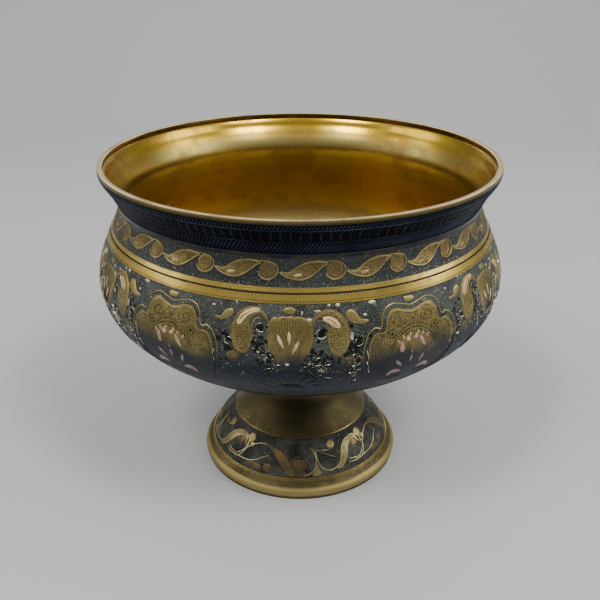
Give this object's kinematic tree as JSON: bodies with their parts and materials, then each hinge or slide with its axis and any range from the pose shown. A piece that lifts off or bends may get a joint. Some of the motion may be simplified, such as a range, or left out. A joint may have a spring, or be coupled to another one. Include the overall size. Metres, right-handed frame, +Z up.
{
  "type": "engraved brass footed bowl",
  "caption": "Round-bellied planter bowl with a flared stepped lip on a trumpet foot, turned in brass with lac-filled ornament bands.",
  "frame": {"origin": "centre of the foot's resting ring, on the surface it stands on", "axes": "+Z up the turning axis; -Y is the front, where one fan motif faces"},
  "size_m": [0.242, 0.242, 0.201],
  "materials": {
    "bowl_brass": "polished inside, worn and toned outside",
    "foot_brass": "toned satin",
    "fastener_steel": "plain zinc",
    "black_lac": "worn, stippled",
    "rose_lac": "rubbed flush"
  },
  "bodies": {
    "root": {"bowl": "bowl_brass", "pedestal_foot": "foot_brass", "foot_stud": "fastener_steel", "foot_washer": "fastener_steel", "foot_nut": "fastener_steel", "neck_lac_fill": "black_lac", "shoulder_lac_fill": "black_lac", "ring_line_fill": "black_lac", "belly_lac_fill": "black_lac", "underside_lac_fill": "black_lac", "foot_lac_fill": "black_lac", "leaf_core_inlays": "rose_lac", "paisley_core_inlays": "rose_lac", "fan_petal_inlays": "rose_lac", "medallion_petal_inlays": "rose_lac"}
  },
  "joints": []
}
